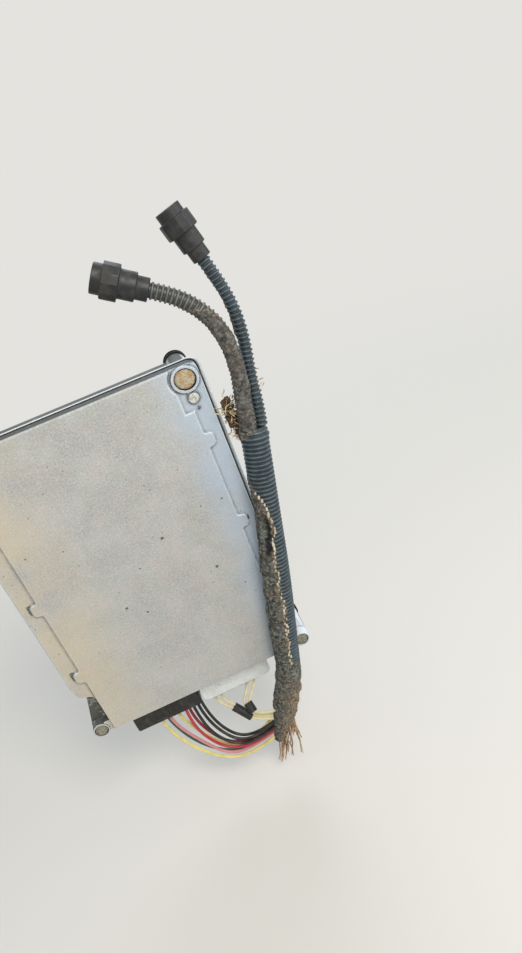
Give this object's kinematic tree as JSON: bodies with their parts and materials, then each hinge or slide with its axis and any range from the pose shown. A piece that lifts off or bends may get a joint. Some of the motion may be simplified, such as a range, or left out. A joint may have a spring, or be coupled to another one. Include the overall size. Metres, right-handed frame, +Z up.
{
  "type": "electronic control unit of a combine harvester",
  "caption": "Flat die-cast control unit case with stepped cover, corner bolts on rubber feet, plugged connectors on its lower side and the start of its wiring loom.",
  "frame": {"origin": "midway between the two top bolts, in the plane that the rubber feet bear on", "axes": "+Z up along the case's long side, +X to the right seen from the front, +Y into the wall it is bolted to"},
  "size_m": [0.2575, 0.092, 0.5046],
  "materials": {
    "cast_aluminium": "die-cast, dusty",
    "seal_rubber": "matt",
    "foot_rubber": "matt",
    "zinc_steel": "zinc plated, dull",
    "dusty_steel": "dusty, lightly rusted",
    "black_nylon": "moulded, dusty",
    "loom_plastic": "corrugated, dusty",
    "loom_tape": "cloth tape caked with dirt",
    "coupling_plastic": "moulded",
    "yellow_pvc": "wire insulation",
    "pink_pvc": "wire insulation",
    "green_pvc": "wire insulation",
    "red_pvc": "wire insulation",
    "crimson_pvc": "wire insulation",
    "black_pvc": "wire insulation",
    "cream_pvc": "wire insulation"
  },
  "bodies": {
    "root": {"case_cover": "cast_aluminium", "case_rear": "cast_aluminium", "case_seal": "seal_rubber", "cover_screws": "zinc_steel", "feet": "foot_rubber", "washers": "zinc_steel", "mount_bolts": "dusty_steel", "header_left": "black_nylon", "header_right": "black_nylon", "plug_left": "black_nylon", "plug_right": "black_nylon", "loom_trunk": "loom_plastic", "loom_ribbed": "loom_plastic", "loom_taped": "loom_tape", "loom_breakout": "loom_tape", "coupling_taped": "coupling_plastic", "coupling_ribbed": "coupling_plastic", "wire_yellow": "yellow_pvc", "wire_pink": "pink_pvc", "wire_green": "green_pvc", "wire_red": "red_pvc", "wire_crimson": "crimson_pvc", "wire_black_a": "black_pvc", "wire_black_b": "black_pvc", "wire_cream_a": "cream_pvc", "wire_cream_b": "cream_pvc", "wire_cream_c": "cream_pvc", "wire_cream_d": "cream_pvc", "wire_amber": "yellow_pvc", "wire_black_c": "black_pvc", "sleeve_left": "black_pvc", "sleeve_right": "black_pvc"}
  },
  "joints": []
}
